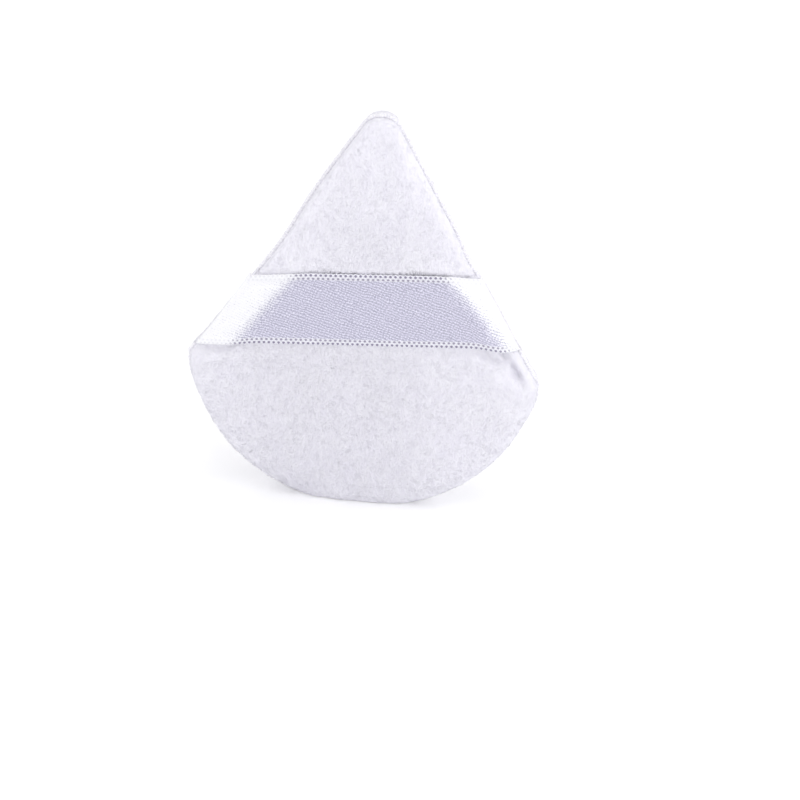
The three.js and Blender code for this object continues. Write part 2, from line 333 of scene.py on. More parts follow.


# The satin's weave runs along the ribbon's own UV, in centimetres: shallow slanting floats broken
# into dashes, with two staggered rows of gaps, in painted shade, between white loops along both woven
# edges. The second UV holds how far the ribbon slopes; there its colour is painted white as a highlight,
# where its floats would catch the light.
def satinFinish(name, spec):
    finish = Finish(name)
    place = finish.node("SeparateXYZ", Vector=finish.node("UVMap", {"uv_map": "UVMap"})).socket.node
    along, across = (Term(finish.tree, place.outputs[i]) * 10 for i in (0, 1))
    second = finish.node("SeparateXYZ", Vector=finish.node("UVMap", {"uv_map": "Slope"})).socket.node
    slope = Term(finish.tree, second.outputs[0])
    turn = 2 * math.pi
    cloud = finish.noise(1.8, 2.0) - 0.5
    grain = finish.noise(0.22, 1.0) - 0.5
    bow = cloud * 1.6
    floats = ((along * spec["floatAlong"] + across * spec["floatAcross"] + bow) * turn).math("SINE")
    breaks = ((along * spec["breakAlong"] - across * spec["breakAcross"] + bow) * turn).math("SINE")
    weave = floats * 0.42 + breaks * 0.16 + floats * breaks * 0.2 + grain * 3.2
    edge = spec["width"] / 2 - across.math("ABSOLUTE")
    band = finish.ramp(edge, spec["edgeBand"] + 0.1, spec["edgeBand"] - 0.1)
    half = spec["edgeBand"] * 0.5
    row = finish.ramp(edge, half + 0.05, half - 0.05)
    phase = (along / spec["picotPitch"] + row * 0.5) * turn
    inRow = ((edge / half) * turn - math.pi / 2).math("SINE") * 0.5 + 0.5
    # Painted shade: the gaps between the edge loops are painted dark, fading under the painted highlight
    shadedGap = finish.ramp((phase.math("SINE") * 0.5 + 0.5) * (0.3 + inRow * 0.7), 0.3, 0.56) * band
    shadedGap = shadedGap * (0.85 + row * 0.15) * (1 - finish.ramp(slope + grain, 0.2, 0.8) * 0.85)
    # Painted highlight: the sloping ends are painted white, as if their floats caught the lamps
    lit = finish.ramp(slope + weave * 0.36, 0.05, 0.95)
    body = finish.mix(finish.ramp(weave, -1.0, 1.0), shade(*spec["dark"]), shade(*spec["light"]))
    body = finish.mix(lit, body, shade(*spec["white"]))
    loops = finish.mix(band * 0.62, body, shade(*spec["white"]))
    colour = finish.mix(shadedGap, loops, shade(*spec["shadedGap"]))
    height = weave * 0.4 * (1 - band) + band * (0.8 - shadedGap * 1.6)
    rough = 0.36 + band * 0.3
    return finish.set(Base_Color=colour, Roughness=rough, Specular_IOR_Level=0.5, Sheen_Weight=0.08,
                      Normal=finish.bump(height, 0.04, 0.6))


def threadFinish(name, light, dark):
    finish = Finish(name)
    fibre = finish.noise(0.3, 3.0)
    colour = finish.mix(finish.ramp(fibre, 0.3, 0.7), shade(*dark), shade(*light))
    return finish.set(Base_Color=colour, Roughness=0.85, Specular_IOR_Level=0.2, Sheen_Weight=0.2,
                      Normal=finish.bump(fibre, 0.1, 0.7))


def spongeFinish(name, spec):
    finish = Finish(name)
    cells = finish.node("TexVoronoi", Vector=finish.position(), Scale=1 / (spec["cell"] * mm))
    colour = finish.mix(finish.ramp(cells, 0.1, 0.5), shade(*spec["dark"]), shade(*spec["light"]))
    return finish.set(Base_Color=colour, Roughness=0.95, Normal=finish.bump(cells, 0.25, 0.8))


# The ribbon's path
ribbon = {
    "width": 14.9, "thickness": 0.26, "height": 43.9, "tilt": math.radians(4.9),
    "top": 4.3, "edge": 1.62, "edgeInset": 0.5, "lip": 1.05, "lipInset": 0.85, "wrap": 0.74,
    # the bends' insets: upper edge, middle, lower edge
    "kneeLeft": (6.3, 5.4, 4.9), "kneeRight": (5.2, 2.6, 1.6),
    "kneeSoftness": 0.8, "drop": (0.33, 0.38), "dropReach": (7.0, 5.4), "dropSoftness": 0.7,
    "tuck": 3.7, "clear": 0.3, "wrapTurn": (-90, 62), "slopeEnd": 11, "blend": 1.2, "fineShare": 0.16,
    "ripple": 0.035, "rippleLength": 5, "rippleStretch": (0.35, 1.6), "rippleFrom": (0, 6), "probe": 1.5,
    "outerRow": (0.3, 0.75), "bandSoftness": 0.2, "loopHeight": 0.1, "loopOut": 0.14, "rim": 0.08,
    "floatAlong": 0.68, "floatAcross": 1.72, "breakAlong": 1.5, "breakAcross": 0.75,
    "edgeBand": 1.2, "picotPitch": 0.91,
    # the last colour is the painted shade in the gaps between the edge loops
    "light": (229, 227, 245), "dark": (160, 158, 180), "white": (245, 245, 249), "shadedGap": (136, 130, 154),
}
ribbonHalf = ribbon["width"] / 2


# Inset of the ribbon's bend along the line at v, a parabola through its three given insets
def kneeOf(hand, v):
    pairs = zip(ribbon["kneeLeft"], ribbon["kneeRight"])
    upper, centre, lower = (np.where(hand > 0, right, left) for left, right in pairs)
    v = np.clip(v, -1.2, 1.2)  # the parabola holds a little beyond the edges
    return centre + (upper - lower) / 2 * v + ((upper + lower) / 2 - centre) * v * v


# How far the ribbon's ends turn down beyond the bend, on their way to the seam
def dropOf(hand, inset):
    soft = ribbon["dropSoftness"]
    share, reach = (np.where(hand > 0, ribbon[k][1], ribbon[k][0]) for k in ("drop", "dropReach"))
    return share * soft * np.log1p(np.exp(np.clip((reach - inset) / soft, -40, 40)))


# Where the ribbon's line at v, from -1 at the lower edge to 1 at the upper, has an inset
def ribbonCrossing(hand, v, inset):
    slope = math.tan(ribbon["tilt"])
    height = ribbon["height"] + v * ribbonHalf / math.cos(ribbon["tilt"]) - dropOf(hand, inset)
    x = (sideReach - inset - sideZ * height) / (sideX + hand * sideZ * slope)
    return hand * x, height + hand * x * slope


# Depth of the ribbon's middle surface: a straight slope up from the seam to a soft bend, flat beyond
def ribbonDepth(hand, v, inset):
    knee = kneeOf(hand, v)
    slope = (ribbon["top"] - ribbon["edge"]) / (knee - ribbon["edgeInset"])
    soft = ribbon["kneeSoftness"]
    return ribbon["top"] - slope * soft * np.log1p(np.exp(np.clip((knee - inset) / soft, -40, 40)))


# The two velour covers
cover = {
    "applicator": {"depth": 9.3, "thin": 0.3, "fullness": 2.4, "shoulder": 0.92, "crown": 0.0,
                   "inner": 1.8, "columns": 1.0, "ringStep": 0.46, "seeds": (3, 21, 25)},
    "ribbonSide": {"depth": 3.75, "thin": 0.0, "fullness": 2.3, "shoulder": 0.29, "crown": 0.55,
                   "inner": 2.1, "columns": 1.3, "ringStep": 0.34, "seeds": (5, 22, 26)},
    "lipY": 1.05, "lip": 0.5, "lipInset": 0.35, "allowance": 3.9, "cloth": 1.0, "nap": 0.25, "room": 0.3,
    "crownFrom": 5, "crownReach": 8,
    "pucker": {"height": 0.15, "length": 5.0, "stretch": (30, 0.6), "inset": 2.2, "reach": 2.2},
    "lumps": {"large": (18, 0.15), "small": (6, 0.04), "from": (0.5, 6)},  # length and height of each
    "ringFrom": 0.12, "edgeRings": 1.2, "faceFrom": 1.65,  # insets of the outer face's first rings
    "closeShare": 0.8, "endShare": 0.985,  # of the deepest inset, where the rings close in and end
    "faceFloor": 0.18, "lipFloor": 0.12,
    "closes": 0.5, "closesBeside": (0, 2.5), "closesFrom": (0.5, 5),
    "light": (244, 243, 250), "dark": (238, 236, 246), "streakShare": 0.35,
    "pileLight": (247, 246, 253), "pileDark": (241, 239, 249),
}


# A cover's whole depth, which thins towards the tip with the square of the height above the corners
def fullDepth(kind, z):
    share = np.clip((z - form["cornerHeight"]) / (form["height"] - form["cornerHeight"]), 0, 1)
    return cover[kind]["depth"] * (1 - cover[kind]["thin"] * share ** 2)


# A superellipse that rises from 0 to 1 as t does
def swell(kind, t):
    fullness = cover[kind]["fullness"]
    return (1 - (1 - t) ** fullness) ** (1 / fullness)


# Depth of a cover's outer face below its pile: a superellipse in from the seam, drawn in where it
# is stitched, with soft lumps, and pressed in under the ribbon on its side
def coverDepth(kind, inset, x, z):
    c, pucker, lumps = cover[kind], cover["pucker"], cover["lumps"]
    depth = fullDepth(kind, z) - cover["nap"]
    t = np.clip((inset - cover["lipInset"]) / (c["shoulder"] * deepest - cover["lipInset"]), 0, 1)
    out = cover["lipY"] + (depth - cover["lipY"]) * swell(kind, t)
    out += c["crown"] * (1 - np.exp(-np.maximum(inset - cover["crownFrom"], 0) / cover["crownReach"]))
    around = np.arctan2(z - middleZ, x)
    stretch = pucker["stretch"]
    folds = waves(around * stretch[0], inset * stretch[1], pucker["length"], c["seeds"][0])
    out += pucker["height"] * folds * np.exp(-((inset - pucker["inset"]) / pucker["reach"]) ** 2)
    large, small = (height * waves(x, z, length, seed) for (length, height), seed
                    in zip((lumps["large"], lumps["small"]), c["seeds"][1:]))
    out += (large + small) * ease(*lumps["from"], inset)
    if kind == "ribbonSide":
        out = pressed(out, inset, x, z)
    return out


# Place across the ribbon, -1 at its lower edge and 1 at its upper
def acrossRibbon(x, z):
    level = z - ribbon["height"] - x * math.tan(ribbon["tilt"]) + dropOf(np.sign(x), sideInset(x, z))
    return level * math.cos(ribbon["tilt"]) / ribbonHalf


# Inset from the nearer straight side
def sideInset(x, z):
    return sideReach - np.abs(x) * sideX - z * sideZ


press = {
    "clearLess": 0.17, "clearFrom": (0.7, 1),  # closer along the ribbon's upper edge
    "above": (0, 1.4), "below": (0.1, 2.4),  # where the velour comes up again beside the ribbon
    "bulge": {"height": 0.16, "away": 3.4, "reach": 1.5, "from": (1, 5)},
    "brim": {"height": 0.14, "rise": (0, 0.3), "reach": 2.2, "from": (1, 4)},
    # dents and folds by its lower ends: height, centre, size, turn in degrees, insets where it comes in
    "folds": [
        (-2.6, (24.1, 36.0), (2.3, 1.5), -28, (0.4, 1.6)), (-1.4, (27.9, 32.6), (0.75, 3.0), 30, (0.3, 0.9)),
        (0.5, (24.6, 31.2), (1.8, 2.6), 30, (-1, 0)), (-0.7, (-27.5, 31.6), (3.6, 0.8), 24, (0.4, 1.6)),
    ],
    "thinnest": 0.25, "thinnestLip": 0.1, "wallFrom": (0.9, 0.3),  # no dent goes through the cloth
}


# The ribbon presses the velour in, which bulges beside it, stands up along its upper edge, and is
# dented and folded by both of its lower ends, but never deeper than the panel's own wall
def pressed(depth, inset, x, z):
    v = acrossRibbon(x, z)
    clear = ribbon["clear"] - press["clearLess"] * ease(*press["clearFrom"], v)
    under = ribbonDepth(np.sign(x), v, sideInset(x, z)) - ribbon["thickness"] / 2 - clear
    beyond = np.maximum(np.abs(v) - 1, 0) * ribbonHalf
    hold = 1 - np.where(v > 0, ease(*press["above"], beyond), ease(*press["below"], beyond))
    held = depth * (1 - hold) + np.minimum(depth, under) * hold
    bulge, brim = press["bulge"], press["brim"]
    swelling = np.exp(-((beyond - bulge["away"]) / bulge["reach"]) ** 2) * (v < 0)
    held += bulge["height"] * swelling * ease(*bulge["from"], inset)
    standing = np.exp(-(beyond / brim["reach"]) ** 2) * (v > 1) * ease(*brim["from"], inset)
    held += (np.maximum(under + brim["height"] * ease(*brim["rise"], beyond), held) - held) * standing
    for height, centre, size, turn, comesIn in press["folds"]:
        held += height * spot(x, z, centre, size, math.radians(turn)) * ease(*comesIn, inset)
    wall = cover["ribbonSide"]["inner"] + press["thinnest"]
    thin = cover["lipY"] + press["thinnestLip"]
    first, whole = (cover["allowance"] - w for w in press["wallFrom"])
    return np.maximum(held, thin + (wall - thin) * ease(first, whole, inset))


# Two grids of a cover, ring by ring: its turned-in and rounded edge, and its outer face up to the middle
def coverGrids(kind, side):
    columns = cover[kind]["columns"]
    edge = np.linspace(0, 1, 6)[1:] ** 1.4 * cover["edgeRings"]  # closer together towards the edge
    face = np.arange(cover["faceFrom"], cover["endShare"] * deepest, cover[kind]["ringStep"])
    insets = cover["lipInset"] + cover["ringFrom"] + np.concatenate([edge, face])
    last = cover["closeShare"] * deepest
    x, z = outline(np.minimum(insets, last), columns)
    shrink = np.minimum((deepest - insets) / (deepest - last), 1)[:, None]  # the last rings close in
    x, z = x * shrink, middleZ + (z - middleZ) * shrink
    z = np.maximum(z, cover["faceFloor"])
    y = side * coverDepth(kind, insets[:, None], x, z)
    outer = np.stack([x, y, z], -1)
    turn = np.radians(np.linspace(0, 90, 6))
    lipInsets = cover["lipInset"] + cover["lip"] * (1 - np.sin(turn))
    lipY = side * (cover["lipY"] - cover["lip"] * np.cos(turn))
    inner = [(cover["allowance"], side * (cover["lipY"] - cover["lip"]))]
    turned = inner + list(zip(lipInsets, lipY))
    x, z = outline([i for i, _ in turned], columns)
    y = np.repeat(np.array([y for _, y in turned])[:, None], x.shape[1], 1)
    lip = np.stack([x, y, np.maximum(z, cover["lipFloor"])], -1)
    if kind == "applicator":
        for grid in (lip, outer):
            grid[..., 1] -= closing(grid[..., 0], grid[..., 2])
    return lip, outer


# How far the applicator's edge closes over the seam, where the ribbon's ends fill it
def closing(x, z):
    beside = np.maximum(np.abs(acrossRibbon(x, z)) - 1, 0) * ribbonHalf
    near = 1 - ease(*cover["closesBeside"], beside)
    return cover["closes"] * near * (1 - ease(*cover["closesFrom"], sideInset(x, z)))


# The grid of a cover's inner face: flat on the ribbon's side, and a smaller superellipse on the other
def insideGrid(kind, side):
    c, cloth = cover[kind], cover["cloth"]
    if kind == "ribbonSide":
        x, z = outline([cover["allowance"]], c["columns"])
        return np.stack([x, np.full_like(x, -c["inner"]), np.maximum(z, cloth)], -1)
    t = np.linspace(0, 1, 12)[::-1]
    x, z = outline(cover["lipInset"] + cloth + t * (c["shoulder"] * deepest - cloth))
    z = np.maximum(z, cloth)
    depth = fullDepth(kind, z) - cloth - cover["room"]
    wall = np.stack([x, side * (c["inner"] + (depth - c["inner"]) * swell(kind, t[:, None])), z], -1)
    x, z = outline([cover["allowance"]])
    return np.concatenate([wall, np.stack([x, np.full_like(x, side * c["inner"]), z], -1)])


velour = velourFinish("velour", cover["light"], cover["dark"], cover["streakShare"])
pile = pileFinish("velour_pile", cover["pileLight"], cover["pileDark"])
shells = {}
for kind, side, name, node in (("applicator", 1, "applicator_velour", "applicator_cover"),
                               ("ribbonSide", -1, "ribbon_side_velour", "ribbon_side_cover")):
    lip, outer = coverGrids(kind, side)
    points, faces = closedRings(np.concatenate([insideGrid(kind, side), lip, outer]))
    piece = makeMesh(name, points, faces, velour)
    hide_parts(node)
    shells[kind] = {"piece": piece, "napped": np.concatenate([lip[-4:], outer]), "side": side}
print("velour covers made")


# The velour's pile
nap = {
    "fibres": 48000, "length": 0.25, "width": 0.05, "lean": 0.3, "down": 0.35, "stray": 0.2, "scatter": 0.04,
    "rooted": 0.05, "rootFloor": 0.6, "floor": 0.05, "driftLength": 9, "tuftLength": 2.5, "tuftShare": 0.15,
    "fullFrom": (0.5, 4), "edgeShare": 0.85,  # shorter by the seam
    # places across the ribbon, where 1 is its edge: what stays bare, and the fringe on its upper edge
    "bare": (-1.02, 0.975), "near": 1.03, "nearLength": 0.08, "standLength": 0.12,
    "thick": (0.99, 1.08), "thickness": 6, "long": (1.04, 1.08), "longLength": 0.36,
    "lit": (0.97, 1.1), "litShare": 0.85,
}


# Fibres as slender three-sided points, spread by area over a cover's outer face and rounded edge, and
# thicker along the ribbon's upper edge. Each leans with a slowly changing nap and a little on its
# own. The ribbon's own place stays bare.
def makePile(kind, name, seed):
    r = np.random.default_rng(seed)
    grid, side = shells[kind]["napped"], shells[kind]["side"]
    normal = gridNormals(grid)
    if (normal[-8:, :, 1].mean() > 0) != (side > 0):
        normal = -normal
    corners = [grid[:-1], np.roll(grid, -1, 1)[:-1], np.roll(grid, -1, 1)[1:], grid[1:]]
    area = np.linalg.norm(np.cross(corners[2] - corners[0], corners[3] - corners[1]), axis=-1) / 2
    weight = area
    if kind == "ribbonSide":
        v = acrossRibbon(corners[0][..., 0], corners[0][..., 2])
        weight = area * np.where(between(v, nap["thick"]), nap["thickness"], 1)
    pick = np.searchsorted(np.cumsum(weight.ravel()) / weight.sum(), r.uniform(0, 1, nap["fibres"]))
    row, column = np.unravel_index(np.minimum(pick, area.size - 1), area.shape)
    s, t = r.uniform(0, 1, (2, nap["fibres"], 1))
    root = ((corners[0][row, column] * (1 - s) + corners[1][row, column] * s) * (1 - t)
            + (corners[3][row, column] * (1 - s) + corners[2][row, column] * s) * t)
    up = normal[row, column]
    keep = np.ones(len(root), bool)
    if kind == "ribbonSide":
        v = acrossRibbon(root[:, 0], root[:, 2])
        keep = (v > nap["bare"][1]) | (v < nap["bare"][0])
    keep &= root[:, 2] > nap["rootFloor"]
    root, up = root[keep], up[keep]
    depthIn = (row / (len(grid) - 1) * cover["endShare"] * deepest)[keep]
    count = len(root)
    x, z = root[:, 0], root[:, 2]
    sideways, down = (waves(x, z, nap["driftLength"], seed + n) for n in (1, 2))
    drift = np.stack([sideways, np.zeros(count), down - nap["down"] * 2], -1)
    drift = drift * nap["lean"] + r.normal(0, nap["stray"], (count, 3))
    drift -= (drift * up).sum(-1, keepdims=True) * up
    way = up + drift
    way /= np.linalg.norm(way, axis=-1, keepdims=True)
    tufts = 1 + nap["tuftShare"] * waves(x, z, nap["tuftLength"], seed + 3)
    length = nap["length"] * r.uniform(0.7, 1.25, count) * tufts
    length *= nap["edgeShare"] + (1 - nap["edgeShare"]) * ease(*nap["fullFrom"], depthIn)
    if kind == "ribbonSide":  # below the ribbon where it begins, and up against its upper edge
        v = v[keep]
        length = np.where(np.abs(v) < nap["near"], np.minimum(length, nap["nearLength"]), length)
        length = np.where(between(v, nap["long"]), np.maximum(length, nap["longLength"]), length)
        reach = acrossRibbon(*(root + way * length[:, None]).T[[0, 2]])
        into = (np.abs(reach) < nap["near"]) & (np.abs(v) >= nap["near"])  # would end in the ribbon
        way = np.where(into[:, None], up, way)
        length = np.where(into, np.minimum(length, nap["standLength"]), length)
    flat = np.cross(way, r.normal(0, 1, (count, 3)))
    flat /= np.linalg.norm(flat, axis=-1, keepdims=True)
    other = np.cross(way, flat)
    width = nap["width"] * r.uniform(0.8, 1.25, (count, 1))
    turns = [0, 2 * math.pi / 3, 4 * math.pi / 3]
    foot = [root - nap["rooted"] * up + width * (flat * math.cos(a) + other * math.sin(a)) for a in turns]
    tip = root + way * length[:, None]
    points = np.stack([*foot, tip], 1).reshape(-1, 3)
    points[:, 2] = np.maximum(points[:, 2], nap["floor"])
    first = np.arange(count)[:, None] * 4
    faces = np.concatenate([first + np.array(k) for k in ((0, 1, 3), (1, 2, 3), (2, 0, 3), (0, 2, 1))])
    piece = makeMesh(name, points, [faces], pile)
    facing = up
    if kind == "ribbonSide":  # the fringe over the ribbon's upper edge is lit like the flat beside it
        level = between(v, nap["lit"])[:, None] * nap["litShare"]
        facing = up * (1 - level) + np.array([0, side, 0]) * level
    soft = np.repeat(facing + nap["scatter"] * r.normal(0, 1, (count, 3)), 4, 0)
    soft /= np.linalg.norm(soft, axis=-1, keepdims=True)
    piece.data.normals_split_custom_set_from_vertices(soft)
    return piece


for kind, name, seed in (("applicator", "applicator_pile", 31), ("ribbonSide", "ribbon_side_pile", 41)):
    shells[kind]["pile"] = makePile(kind, name, seed)
print("pile made")


# The sponge pad inside
pad = {
    "room": 0.3, "edgeRoom": 0.6, "wallRoom": 0.4, "wall": (-1.8, 2.1), "columns": 0.4,
    "cell": 0.6, "light": (240, 233, 208), "dark": (196, 184, 150),
}


# A low upright wall within the seam allowances, and on it the applicator's superellipse, made smaller
def makePad():
    cloth = cover["cloth"] + pad["room"]
    t = np.linspace(0, 1, 14)
    reach = cover["applicator"]["shoulder"] * deepest - cloth - pad["edgeRoom"]
    x, z = outline(cover["lipInset"] + cloth + pad["edgeRoom"] + t * reach, pad["columns"])
    z = np.maximum(z, cloth)
    depth = fullDepth("applicator", z) - cloth - pad["edgeRoom"]
    top = pad["wall"][1]
    dome = np.stack([x, top + (depth - top) * swell("applicator", t[:, None]), z], -1)
    x, z = outline([cover["allowance"] + pad["wallRoom"]], pad["columns"])
    z = np.maximum(z, cloth)
    wall = [np.stack([x, np.full_like(x, y), z], -1) for y in pad["wall"]]
    points, faces = closedRings(np.concatenate([*wall, dome]))
    piece = makeMesh("foam_pad", points, faces, spongeFinish("sponge", pad))
    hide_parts("foam_core")


makePad()
print("pad made")


# The satin ribbon
# Rows run across the ribbon and columns along it: out of the left seam, round the lip, up the
# shoulder, straight across and down the other side. Two such layers and their rims make a band.
def makeRibbon():
    turn = np.radians(np.linspace(*ribbon["wrapTurn"], 22))
    wrapInset = ribbon["lipInset"] - ribbon["wrap"] * np.cos(turn)
    wrapY = ribbon["lip"] + ribbon["wrap"] * np.sin(turn)
    tuckInset = np.linspace(ribbon["tuck"], ribbon["lipInset"], 12)[:-1]
    slopeInset = np.linspace(wrapInset[-1], ribbon["slopeEnd"], 62)[1:]
    count = 250
    fine = ribbon["fineShare"]  # of half the width, with closer rows, along each edge
    rows = np.concatenate([-1 + fine * np.linspace(0, 1, 13), np.linspace(fine - 1, 1 - fine, 46)[1:-1],
                           1 - fine * np.linspace(1, 0, 13)])
    v = rows[:, None]
    foldInset = ribbon["lipInset"] - ribbon["wrap"]
    pieces, slopeOf = [], []
    for hand in (-1, 1):
        near, far = (np.array(ribbonCrossing(hand, 0, i)) for i in (foldInset, foldInset + ribbon["probe"]))
        run = (near - far) / np.linalg.norm(near - far)
        normal = np.array([hand * sideX, sideZ])
        outward = run @ normal
        back = run - 2 * outward * normal
        inset = np.concatenate([tuckInset, wrapInset, slopeInset])[None, :]
        behind = np.arange(inset.shape[1])[None, :] < len(tuckInset) + np.searchsorted(turn, 0)
        fx, fz = ribbonCrossing(hand, v, foldInset)
        past = (inset - foldInset) / outward
        x, z = ribbonCrossing(hand, v, inset)
        x = np.where(behind, fx + back[0] * past, x)
        z = np.where(behind, fz + back[1] * past, z)
        for side, amount, height, reach in form["gives"]:  # out with the outline at its lower ends
            if side == hand and amount > 0:
                x = x + hand * amount * np.exp(-((z - height) / reach) ** 2)
        depth = np.concatenate([np.full(len(tuckInset), ribbon["lip"] - ribbon["wrap"]), wrapY])
        depth = np.broadcast_to(depth, (len(rows), len(depth)))
        shoulder = ribbonDepth(hand, v, slopeInset[None, :])
        step = wrapY[-1] - ribbonDepth(hand, v, wrapInset[-1:])[:, :1]
        offset = step * np.exp(-(slopeInset[None, :] - wrapInset[-1]) / ribbon["blend"])
        y = -np.concatenate([depth, shoulder + offset], 1)
        pieces.append(np.stack([x, y, z], -1))
        steep = 1 / (1 + np.exp(-(kneeOf(hand, v) - slopeInset[None, :]) / ribbon["kneeSoftness"]))
        slopeOf.append(np.concatenate([np.ones_like(depth), steep], 1))
    left, right = pieces
    share = (np.arange(1, count) / count)[None, :, None]
    straight = left[:, -1:] * (1 - share) + right[:, -1:] * share
    middle = np.concatenate([left, straight, right[:, ::-1]], 1)
    run = np.cumsum(np.linalg.norm(np.diff(middle, axis=1), axis=-1), 1)
    run = np.concatenate([np.zeros((len(rows), 1)), run], 1)
    level = (middle[..., 0] * math.cos(ribbon["tilt"])
             + (middle[..., 2] - ribbon["height"]) * math.sin(ribbon["tilt"]))
    flat = slice(left.shape[1], left.shape[1] + count - 1)
    u = run - np.array([[np.interp(0, a, b)] for a, b in zip(level[:, flat], run[:, flat])])
    alongShare, acrossShare = ribbon["rippleStretch"]
    ripple = waves(u * alongShare, v * ribbonHalf * acrossShare, ribbon["rippleLength"], 61)
    within = ease(*ribbon["rippleFrom"], np.minimum(run, run[:, -1:] - run))
    middle[..., 1] += ribbon["ripple"] * ripple * within
    uAxis = np.gradient(middle, axis=1)
    vAxis = np.gradient(middle, axis=0)
    normal = np.cross(uAxis, vAxis)
    normal /= np.linalg.norm(normal, axis=-1, keepdims=True)
    edge = (1 - np.abs(rows))[:, None] * ribbonHalf
    band = 1 - ease(ribbon["edgeBand"] - ribbon["bandSoftness"], ribbon["edgeBand"], edge)
    outerRow = 1 - ease(*ribbon["outerRow"], edge)
    phase = 2 * math.pi * (u / ribbon["picotPitch"] + 0.5 * (edge > ribbon["edgeBand"] / 2))
    loops = 0.5 - 0.5 * np.sin(phase)
    raised = ribbon["loopHeight"] * band * loops
    side = np.sign(rows)[:, None, None] * vAxis / np.linalg.norm(vAxis, axis=-1, keepdims=True)
    shape = middle + side * (ribbon["loopOut"] * outerRow * loops)[..., None]
    if normal[..., 1].mean() > 0:
        normal = -normal
    top = shape + normal * (ribbon["thickness"] / 2 + raised)[..., None]
    bottom = shape - normal * ribbon["thickness"] / 2
    nRows = len(top)
    rims = [((top[i] + bottom[i]) / 2 + ribbon["rim"] * side[i])[None] for i in (-1, 0)]
    loop = np.concatenate([top, rims[0], bottom[::-1], rims[1]])  # once round the band's section
    around = [*range(nRows), nRows - 1, *range(nRows - 1, -1, -1), 0]
    ring = loop.transpose(1, 0, 2)
    points, faces = closedRings(ring)
    uv = np.stack([u, np.broadcast_to(v * ribbonHalf, u.shape)], -1) / 10
    uvRing = uv[around].transpose(1, 0, 2).reshape(-1, 2)
    uvAll = np.concatenate([uvRing, [[u[:, 0].mean() / 10, 0], [u[:, -1].mean() / 10, 0]]])
    piece = makeMesh("satin_ribbon", points, faces, satinFinish("satin", ribbon), uv=uvAll)
    # The Slope UV places the painted highlight: 1 on the sloping ends, 0 along the flat middle
    slopes = np.concatenate([slopeOf[0], np.zeros((nRows, count - 1)), slopeOf[1][:, ::-1]], 1)
    ringSlopes = slopes[around].T.ravel()
    layer = piece.data.uv_layers.new(name="Slope")
    corners = np.empty(len(piece.data.loops), np.int32)
    piece.data.loops.foreach_get("vertex_index", corners)
    value = np.concatenate([ringSlopes, [1, 1]])[corners]
    layer.data.foreach_set("uv", np.stack([value, value * 0], -1).astype(np.float32).ravel())
    piece.data.uv_layers.active_index = 0
    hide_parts("ribbon_band")


makeRibbon()
print("ribbon made")


# The edge stitching
stitch = {
    "inset": 0.42, "radius": 0.56, "pitch": 1.7, "sides": 18, "step": 0.14, "upperGap": 0.25, "lowerGap": 1.0,
    "thinShare": 0.84, "strandShare": 0.2, "unevenShare": 0.05,  # of the radius
    "unevenLength": 1.3, "sway": 0.08, "swayLength": 4.0, "taper": 0.5, "endShare": 0.05,
    "floorShare": 0.95, "floor": 0.02, "columns": 3.0, "light": (252, 251, 254), "dark": (226, 224, 234),
}


# A cord of whipped thread along the seam. Its radius swells where two slanting strands cross the
# surface: the radius times 0.84, plus 0.2 of the size of the cosine of the strands' phase, plus 0.05
# of a random wave. It tapers shut at both ends.
def makeStitching(name, node, upper):
    x, z = outline([stitch["inset"]], stitch["columns"])
    line = np.stack([x[0], z[0]], -1)
    half = len(line) // 2
    line = line if upper else np.roll(line, half, 0)
    limits = [ribbonCrossing(hand, 1 if upper else -1, stitch["inset"]) for hand in (-1, 1)]
    room = [z + (stitch["upperGap"] if upper else -stitch["lowerGap"]) for _, z in limits]
    limit = np.where(line[:, 0] < 0, room[0], room[1])
    kept = line[(line[:, 1] > limit) if upper else (line[:, 1] < limit)]
    kept[:, 1] = np.maximum(kept[:, 1], stitch["radius"] * stitch["floorShare"])
    run = np.concatenate([[0], np.cumsum(np.linalg.norm(np.diff(kept, axis=0), axis=1))])
    s = np.arange(0, run[-1], stitch["step"])
    px, pz = np.interp(s, run, kept[:, 0]), np.interp(s, run, kept[:, 1])
    tangent = np.stack([np.gradient(px), np.gradient(pz)], -1)
    tangent /= np.linalg.norm(tangent, axis=-1, keepdims=True)
    angle = np.arange(stitch["sides"]) / stitch["sides"] * 2 * math.pi
    phase = s[:, None] * 2 * math.pi / stitch["pitch"] + angle[None, :]
    strands = stitch["thinShare"] + stitch["strandShare"] * np.abs(np.cos(phase))
    uneven = stitch["unevenShare"] * waves(s, s * 0, stitch["unevenLength"], 71)[:, None]
    radius = stitch["radius"] * (strands + uneven)
    toEnd = np.minimum(s, s[-1] - s) / stitch["taper"] + stitch["endShare"]
    radius = radius * np.sqrt(np.minimum(1, toEnd))[:, None]
    sway = stitch["sway"] * waves(s, s * 0, stitch["swayLength"], 72)[:, None]
    out = radius * np.cos(angle)[None, :]
    points = np.stack([px[:, None] + out * tangent[:, 1:], sway + radius * np.sin(angle)[None, :],
                       np.maximum(pz[:, None] - out * tangent[:, :1], stitch["floor"])], -1)
    points, faces = closedRings(points)
    piece = makeMesh(name, points, faces, thread)
    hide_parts(node)


thread = threadFinish("thread", stitch["light"], stitch["dark"])
makeStitching("stitching_tip", "edge_stitching_tip", True)
makeStitching("stitching_base", "edge_stitching_base", False)
print("stitching made")


# Floor, light and camera
studio = {
    "floorHalf": 2, "floor": (240, 240, 242), "glow": 0.17, "glowFar": 0.8, "glowFrom": (0.14, 0.4),  # metres
    "world": 0.52, "aim": (0, 0, 0.04),
    "lamps": {  # place and size in metres, and power in watts
        "sideRight": ((0.66, -0.06, 0.26), (0.5, 0.44), 1.3),
        "sideLeft": ((-0.66, -0.06, 0.26), (0.5, 0.44), 1.0),
        "frontRight": ((0.44, -0.48, 0.24), (0.34, 0.34), 1.05),
        "frontLeft": ((-0.44, -0.48, 0.24), (0.34, 0.34), 0.75),
        "above": ((0.05, -0.1, 0.85), (0.6, 0.6), 1.6),
        "behind": ((0.15, 0.62, 0.42), (0.6, 0.4), 1.5),
    },
}


